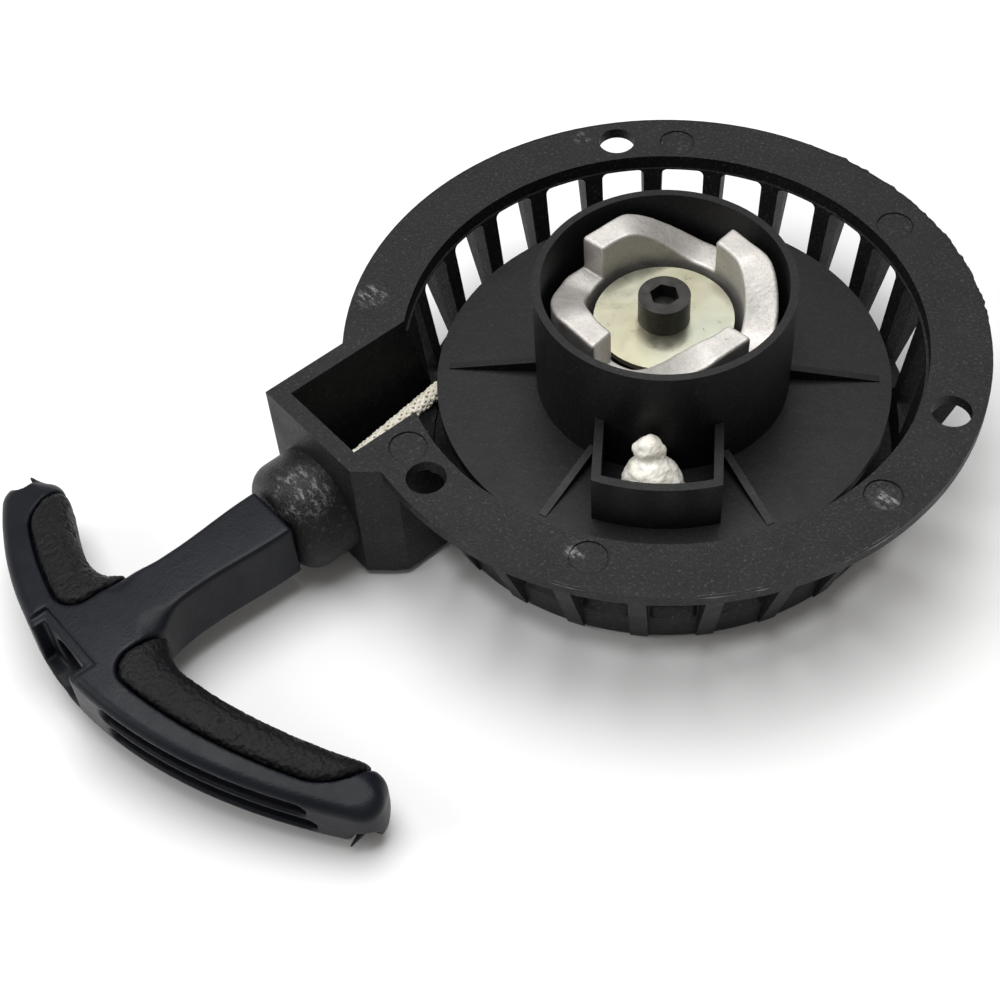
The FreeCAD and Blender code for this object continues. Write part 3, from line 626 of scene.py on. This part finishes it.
def pad_piece(shape, name):
    """A soft grip pad set into its recess, with a crinkled leather grain."""
    region = shape.pad_region(*PAD_PLACES[name])
    crown = common(shape.body - PAD_PROUD, region, 1.6)
    solid = common(crown, -(shape.body + PAD_DEPTH), 0.3)
    points, faces = shape.grid.surface(solid)
    points = relax(points, faces, 2, 0.4)
    points = ruffle(points, faces, 0.2, 0.95, 3.0, ridged=True)
    points = ruffle(points, faces, 0.12, 0.5, 9.0)
    return build(f"{name}_grain", handle_to_part(points), faces, "pad")


def make_handle():
    grid = Grid((STEM_START - 1.5, -FAR_REACH - 4, -13), (128.5, NEAR_REACH + 6, 9), HANDLE_STEP)
    shape = HandleShape(grid)
    moulding = handle_piece(shape)
    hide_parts("handle")
    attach(moulding, "handle_body")
    for name in PAD_PLACES:
        pad = pad_piece(shape, name)
        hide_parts(name)
        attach(pad, "handle_body")


# ---------------------------------------------------------------------------------------------------------
# Drive ring
# ---------------------------------------------------------------------------------------------------------

RING_OUTER, RING_INNER = 21.6, 15.2
RING_BASE, TOOTH_LOW, TOOTH_TOP = -9.0, 5.0, 13.0
TOOTH_COUNT = 4
TOOTH_FACE = 7.0
RAMP_FOOT, RAMP_HEAD = 80, 22
CORNER_CUT_TURN, CORNER_CUT_REACH = 9, 20.35
RING_STEP = 0.27


def make_drive_ring():
    """The cast ring: each saw tooth has a high land with its outer corner cut off, a ramp and a low land."""
    reach = RING_OUTER + 1
    grid = Grid((-reach, -reach, RING_BASE - 1), (reach, reach, TOOTH_TOP + 1), RING_STEP)
    radius = np.hypot(grid.x, grid.y)
    turn = np.degrees(np.arctan2(grid.y, grid.x))
    top = grid.z - TOOTH_LOW
    pitch = 360 / TOOTH_COUNT
    side = radius - RING_OUTER
    for k in range(TOOTH_COUNT):
        behind = (TOOTH_FACE + k * pitch - turn + 180) % 360 - 180
        rise = smoothstep(RAMP_FOOT, RAMP_HEAD, behind) * (behind < 120)
        height = TOOTH_LOW + (TOOTH_TOP - TOOTH_LOW) * rise
        face = -radius * np.sin(np.radians(np.clip(behind, -90, 90)))
        tooth = common(grid.z - height, face, 0.7)
        tooth = np.where(behind < -60, TOOTH_TOP, tooth)
        top = union(top, tooth, 0.5)
        cut_turn = math.radians(TOOTH_FACE + k * pitch - CORNER_CUT_TURN)
        chord = grid.x * math.cos(cut_turn) + grid.y * math.sin(cut_turn) - CORNER_CUT_REACH
        side = np.where(np.abs(behind - CORNER_CUT_TURN) < 30, common(side, chord, 0.4), side)
    wall = common(side, RING_INNER - radius)
    solid = rounded(wall, top, 0.55)
    solid = common(solid, RING_BASE - grid.z)
    points, faces = grid.surface(solid)
    points = relax(points, faces, 1, 0.4)
    points = ruffle(points, faces, 0.07, 3.2, 5.0)
    points = ruffle(points, faces, 0.025, 0.6, 7.0)
    ring = build("drive_ring_casting", points, faces, "ring")
    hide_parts("drive_ring")
    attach(ring, "reel_body")


# ---------------------------------------------------------------------------------------------------------
# Rope and its melted ends
# ---------------------------------------------------------------------------------------------------------

ROPE_RADIUS = 1.75
STRAND_HALF_THICKNESS = 0.24
STRAND_SINK = 0.36
STRAND_WEAVE = 0.17
BRAID_PITCH = 15.0
KNOT_ANGLE = math.radians(-135.3)
DISC_TOP = -11.4

# The melted lumps of the reel's knot: distance from the axis, place sideways, height and radius.
KNOT_BODY = [(30.6, -1.3, -6.4, 4.9), (30.4, -2.4, -7.6, 4.3), (30.6, 0.2, -7.4, 4.5),
             (29.6, -1.3, -3.3, 2.9)]
KNOT_BALL = [(28.8, -1.7, -0.5, 2.6), (28.5, -3.3, -0.9, 1.5), (28.7, -0.1, -0.7, 1.5),
             (28.7, -1.7, 1.1, 1.3)]
KNOT_DRIPS = [(31.8, -5.2, -8.6, 1.9), (32.0, 3.0, -6.4, 1.5), (33.9, 2.9, -8.3, 1.3),
              (33.4, 4.3, -8.7, 1.1), (31.5, -5.6, -5.9, 1.0), (31.2, 3.6, -9.6, 2.2),
              (33.6, -2.4, -9.8, 2.4)]
KNOT_LUMPS = KNOT_BODY + KNOT_BALL + KNOT_DRIPS


def make_reel_knot():
    """The rope's melted inner end: a wide lump, a lobed ball on it, and drips round its foot."""
    outward = np.array((math.cos(KNOT_ANGLE), math.sin(KNOT_ANGLE), 0))
    sideways = np.array((-math.sin(KNOT_ANGLE), math.cos(KNOT_ANGLE), 0))

    def at(reach, side, height):
        return outward * reach + sideways * side + (0, 0, height)

    centre = at(30.2, -1.0, 0)
    grid = Grid((centre[0] - 9, centre[1] - 9, DISC_TOP - 1), (centre[0] + 9, centre[1] + 9, 4.0), 0.22)
    solid = None
    for reach, side, height, radius in KNOT_LUMPS:
        lump = ball(grid, at(reach, side, height), radius)
        solid = lump if solid is None else union(solid, lump, 0.8)
    solid = common(solid, DISC_TOP + 0.02 - grid.z)
    points, faces = grid.surface(solid)
    points = relax(points, faces, 1)
    points = ruffle(points, faces, 0.3, 1.6, 11.0)
    points = ruffle(points, faces, 0.1, 0.5, 13.0)
    points[:, 2] = np.maximum(points[:, 2], DISC_TOP + 0.01)
    knot = build("reel_knot_melt", points, faces, "knot")
    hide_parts("reel_knot")
    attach(knot, "reel_body")


def make_handle_knot():
    """The outer end's melted knot, seated in the handle's well."""
    grid = Grid((-123.5, ROPE_SIDE - 6, ROPE_HEIGHT - 6), (-113.5, ROPE_SIDE + 6, ROPE_HEIGHT + 6), 0.25)
    solid = ball(grid, (-118.4, ROPE_SIDE, ROPE_HEIGHT), 3.3)
    for k in range(5):
        turn = math.radians(72 * k + 10)
        spot = (-117.6, ROPE_SIDE + 1.5 * math.cos(turn), ROPE_HEIGHT + 1.5 * math.sin(turn))
        solid = union(solid, ball(grid, spot, 2.2), 0.8)
    solid = common(solid, grid.x + 115.25, 0.4)
    points, faces = grid.surface(solid)
    points = ruffle(points, faces, 0.3, 1.1, 17.0)
    knot = build("handle_knot_melt", points, faces, "melt")
    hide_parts("handle_knot")
    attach(knot, "handle_body")


def hermite(spots, step):
    """Evenly spaced points on a smooth line through the spots."""
    spots = [np.array(spot, float) for spot in spots]
    line = []
    for k in range(len(spots) - 1):
        here, after = spots[k], spots[k + 1]
        leaving = (after - spots[k - 1]) / 2 if k else after - here
        arriving = (spots[k + 2] - here) / 2 if k + 2 < len(spots) else after - here
        length = np.linalg.norm(after - here)
        leaving = leaving / np.linalg.norm(leaving) * length
        arriving = arriving / np.linalg.norm(arriving) * length
        count = max(2, int(length / step))
        for n in range(count):
            s = n / count
            line.append((2 * s ** 3 - 3 * s ** 2 + 1) * here + (s ** 3 - 2 * s ** 2 + s) * leaving
                        + (3 * s ** 2 - 2 * s ** 3) * after + (s ** 3 - s ** 2) * arriving)
    line.append(spots[-1])
    return np.array(line)


def frames(line):
    """A line's direction at each of its points, and two directions square to it, the first kept level."""
    ahead = np.gradient(line, axis=0)
    ahead /= np.linalg.norm(ahead, axis=1)[:, None]
    side = np.cross(ahead, (0, 0, 1))
    side /= np.linalg.norm(side, axis=1)[:, None]
    return ahead, side, np.cross(side, ahead)


def tube(line, offset, wide, high, sides):
    """A closed strand about a line: offset gives its place in the line's cross-section at each point."""
    ahead, side, up = frames(line)
    middle = line + side * offset[:, :1] + up * offset[:, 1:]
    reach = np.linalg.norm(offset, axis=1)[:, None]
    lift = np.where(reach > 1e-6, offset / np.maximum(reach, 1e-6), (0, 1))
    lateral = side * -lift[:, 1:] + up * lift[:, :1]
    radial = side * lift[:, :1] + up * lift[:, 1:]
    turns = 2 * math.pi * np.arange(sides) / sides
    points = np.concatenate([middle + lateral * (wide * math.cos(t)) + radial * (high * math.sin(t))
                             for t in turns])
    count = len(line)
    faces = []
    for n in range(count - 1):
        for k in range(sides):
            a, b = k * count + n, (k + 1) % sides * count + n
            faces.append((a, b, b + 1, a + 1))
    ends = [k * count for k in range(sides)]
    return points, faces, [tuple(reversed(ends)), tuple(k + count - 1 for k in ends)]


def braid(name, line, carriers, sides=6):
    """A braided cord round a line: so many strands each way, each going over one and under one."""
    points, faces = [], []
    travelled = np.concatenate([[0], np.cumsum(np.linalg.norm(np.diff(line, axis=0), axis=1))])
    wide = 0.86 * math.pi * (ROPE_RADIUS - 0.35) / carriers
    weave = 2 * math.pi * travelled / BRAID_PITCH
    for way in (1, -1):
        for k in range(carriers):
            turn = way * weave + 2 * math.pi * k / carriers
            over = STRAND_WEAVE * np.cos(carriers * weave + (0 if way > 0 else math.pi) + math.pi * k)
            reach = ROPE_RADIUS - STRAND_SINK + over
            offset = np.stack([reach * np.cos(turn), reach * np.sin(turn)], axis=1)
            spots, sheets, caps = tube(line, offset, wide, STRAND_HALF_THICKNESS, sides)
            base = sum(len(p) for p in points)
            points.append(spots)
            faces += [tuple(base + i for i in face) for face in sheets + caps]
    core = np.zeros((len(line), 2))
    spots, sheets, caps = tube(line, core, ROPE_RADIUS - 0.5, ROPE_RADIUS - 0.5, 10)
    base = sum(len(p) for p in points)
    points.append(spots)
    faces += [tuple(base + i for i in face) for face in sheets + caps]
    return build(name, np.concatenate(points), faces, "braid")


WOUND_RADIUS = 33.3
RUN_HEIGHT = -15.7
GUIDE_ENTRY = (-62.6, 28.2, -18.3)
KNOT_SEAT = -115.2
RUN_CLEAR = 17.0


def make_rope_run():
    """The braided cord from beside the coil through the guide and the handle's bore to its knot."""
    across, along = GUIDE_ENTRY[1], -GUIDE_ENTRY[0]
    slope = math.asin(WOUND_RADIUS / math.hypot(across, along)) - math.atan2(across, along)
    start = (-WOUND_RADIUS * math.sin(slope) - RUN_CLEAR * math.cos(slope),
             WOUND_RADIUS * math.cos(slope) - RUN_CLEAR * math.sin(slope), RUN_HEIGHT)
    in_stem = (-STEM_START - 2, ROPE_SIDE, ROPE_HEIGHT)
    spots = [start, GUIDE_ENTRY, in_stem, (KNOT_SEAT, ROPE_SIDE, ROPE_HEIGHT)]
    cord = braid("rope_run_braid", hermite(spots, 0.4), 8)
    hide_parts("rope_run")
    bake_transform(cord)


COIL_ROWS = ((-19.3, 0.3), (-15.7, 0.9))
INNER_TURN_START, INNER_TURN_GROWTH = 26.9, 3.4


def make_rope_wound():
    """The cord's turns on the drum: two rows, braided where they show and plain underneath."""
    reach = WOUND_RADIUS - 0.02
    pieces = []
    for k, (height, phase) in enumerate(COIL_ROWS):
        turns = np.linspace(0, 2 * math.pi - 0.02, 520) + phase
        line = np.stack([reach * np.cos(turns), reach * np.sin(turns), height + 0 * turns], axis=1)
        pieces.append(braid(f"rope_turn_{k}", line, 6, sides=5))
    turns = np.linspace(0, 4 * math.pi, 260)
    spiral = INNER_TURN_START + INNER_TURN_GROWTH * turns / (4 * math.pi)
    for k, (height, phase) in enumerate(COIL_ROWS):
        line = np.stack([spiral * np.cos(turns), spiral * np.sin(turns), height + 0 * turns], axis=1)
        spots, sheets, caps = tube(line, np.zeros((len(line), 2)), ROPE_RADIUS * 0.9, ROPE_RADIUS, 10)
        pieces.append(build(f"rope_inner_turns_{k}", spots, sheets + caps, "braid"))
    for piece in pieces:
        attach(piece, "reel_body")
    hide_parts("rope_wound")


# ---------------------------------------------------------------------------------------------------------
# Moulding flash and ejector-pin rims on the housing
# ---------------------------------------------------------------------------------------------------------

FLANGE_RADIUS = 62.5
FLASH_MIDDLE, FLASH_LOW, FLASH_ROOT = -0.35, -0.9, 0.35
PIN_RIM_RADIUS = 3.65
PIN_CIRCLE = 55.5
PIN_TURNS = (43.6, -10.5, -88.4, -147.2, 168.0)

# Strips of flash: start and end angle in degrees, how far they stand out, and the seed of their noise. The
# burrs are coloured pale grey, a painted highlight along the flange's edge.
BURRS = [(-129, -116, 0.3, 21.0), (-104, -90, 0.35, 25.0), (-152, -146, 0.25, 27.0), (126, 131, 0.4, 29.0)]
RAGGED = [(-44, 26, 1.0, 31.0), (30, 112, 0.45, 35.0)]


def sliver(name, start, end, reach, seed, material):
    """A closed ragged strip of flash along the flange's outer edge between two angles in degrees."""
    count = max(12, int((end - start) * 5))
    points = []
    for n in range(count + 1):
        share = n / count
        turn = math.radians(start + (end - start) * share)
        fade = min(1.0, 8 * share, 8 * (1 - share))
        jag = noise.noise(Vector((seed, 14 * turn, 0))) + 0.35 * noise.noise(Vector((seed, 45 * turn, 4)))
        out = FLANGE_RADIUS + fade * reach * max(0.04, 0.35 + 0.9 * jag)
        lift = 0.08 * fade * (1 + noise.noise(Vector((seed + 9, 60 * turn, 0))))
        root = FLANGE_RADIUS - FLASH_ROOT
        for radius, z in ((root, FLASH_MIDDLE + 0.3 + lift), (out, FLASH_MIDDLE), (root, FLASH_LOW)):
            points.append((radius * math.cos(turn), radius * math.sin(turn), z))
    faces = [(2, 1, 0), (3 * count, 3 * count + 1, 3 * count + 2)]
    for n in range(count):
        for k in range(3):
            a, b = 3 * n + k, 3 * n + (k + 1) % 3
            faces.append((a, b, b + 3, a + 3))
    piece = show(name, points, faces, material, False)
    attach(piece, "housing_body")


def pin_rim(name, turn, seed):
    """The low ragged rim that an ejector pin leaves round its mark."""
    centre = np.array((PIN_CIRCLE * math.cos(turn), PIN_CIRCLE * math.sin(turn), 0))
    steps = 2 * math.pi * np.arange(72) / 72
    points = []
    for step in steps:
        wobble = noise.noise(Vector((seed, 2 * math.cos(step), 2 * math.sin(step))))
        burr = noise.noise(Vector((seed + 5, 7 * math.cos(step), 7 * math.sin(step))))
        for side, high in ((-0.2, -0.12), (0.0, 0.1 + 0.14 * abs(burr)), (0.22, -0.12)):
            radius = PIN_RIM_RADIUS + side + 0.1 * wobble
            points.append(centre + (radius * math.cos(step), radius * math.sin(step), high))
    count = len(steps)
    faces = []
    for n in range(count):
        for k in range(3):
            a, b = 3 * n + k, 3 * n + (k + 1) % 3
            after = 3 * ((n + 1) % count)
            faces.append((a, after + k, after + (k + 1) % 3, b))
    rim = build(name, points, faces, "housing")
    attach(rim, "housing_body")


def make_flash():
    """Burrs in a pale grey that paints their highlight, dark ragged flash along the flange's edge, and the
    rims of the ejector-pin marks.
    """
    for k, burr in enumerate(BURRS):
        sliver(f"flange_burr_{k}", *burr, "flash")
    for k, ragged in enumerate(RAGGED):
        sliver(f"flange_flash_{k}", *ragged, "housing")
    for k, turn in enumerate(PIN_TURNS):
        pin_rim(f"pin_mark_rim_{k}", math.radians(turn), 3.0 * k)


make_handle()
make_drive_ring()
make_reel_knot()
make_handle_knot()
make_rope_run()
make_rope_wound()
make_flash()

# ---------------------------------------------------------------------------------------------------------
# Stage, light and camera
# ---------------------------------------------------------------------------------------------------------

REST_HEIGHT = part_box("housing")[0][2]
AMBIENT = 0.3
LAMPS = [
    ("overhead_softbox", (0.05, 0.16, 0.95), (0.8, 0.8), 11.6),
    ("left_softbox", (-0.75, 0.45, 0.5), (0.45, 0.5), 2.6),
]


def pale_floor():
    mat = Recipe("studio_floor")
    cloud = mat.noise(6, 3, 0.5)
    mat.colour(mat.ramp(cloud, "Fac", [(0.3, (0.81, 0.81, 0.82)), (0.7, (0.845, 0.845, 0.85))]))
    mat.value("Roughness", 0.7)
    mat.value("Specular IOR Level", 0.2)
    bpy.ops.mesh.primitive_plane_add(size=6, location=(0, 0, REST_HEIGHT))
    floor = bpy.context.object
    floor.name = "studio_floor"
    floor.data.materials.append(mat.material)


def area_light(name, place, size, watts, aim=(0, 0, 0)):
    lamp = bpy.data.lights.new(name, "AREA")
    lamp.shape = "RECTANGLE"
    lamp.size, lamp.size_y = size
    lamp.energy = watts
    holder = bpy.data.objects.new(name, lamp)
    bpy.context.scene.collection.objects.link(holder)
    holder.location = place
    holder.rotation_euler = (Vector(aim) - Vector(place)).to_track_quat("-Z", "Y").to_euler()


def studio():
    world = bpy.data.worlds.new("studio")
    bpy.context.scene.world = world
    world.use_nodes = True
    sky = world.node_tree.nodes["Background"]
    sky.inputs["Color"].default_value = (1.0, 0.975, 0.93, 1)
    sky.inputs["Strength"].default_value = AMBIENT
    for name, place, size, watts in LAMPS:
        area_light(name, place, size, watts)


CAMERA_PLACE = Vector((-173.1, -175.7, 263.3)) * MM
CAMERA_TURN = math.radians(-36.6)
CAMERA_ELEVATION = math.radians(51.87)
CAMERA_ROLL = math.radians(-4.735)
CAMERA_LENS = 66.53


def camera():
    data = bpy.data.cameras.new("camera")
    data.lens = CAMERA_LENS
    data.sensor_width = 36
    data.clip_start = 0.01
    holder = bpy.data.objects.new("camera", data)
    bpy.context.scene.collection.objects.link(holder)
    turn = (Matrix.Rotation(CAMERA_TURN, 4, "Z") @ Matrix.Rotation(math.pi / 2 - CAMERA_ELEVATION, 4, "X")
            @ Matrix.Rotation(CAMERA_ROLL, 4, "Z"))
    holder.matrix_world = Matrix.Translation(CAMERA_PLACE) @ turn
    bpy.context.scene.camera = holder


pale_floor()
studio()
camera()
bpy.context.scene.view_settings.view_transform = "Standard"
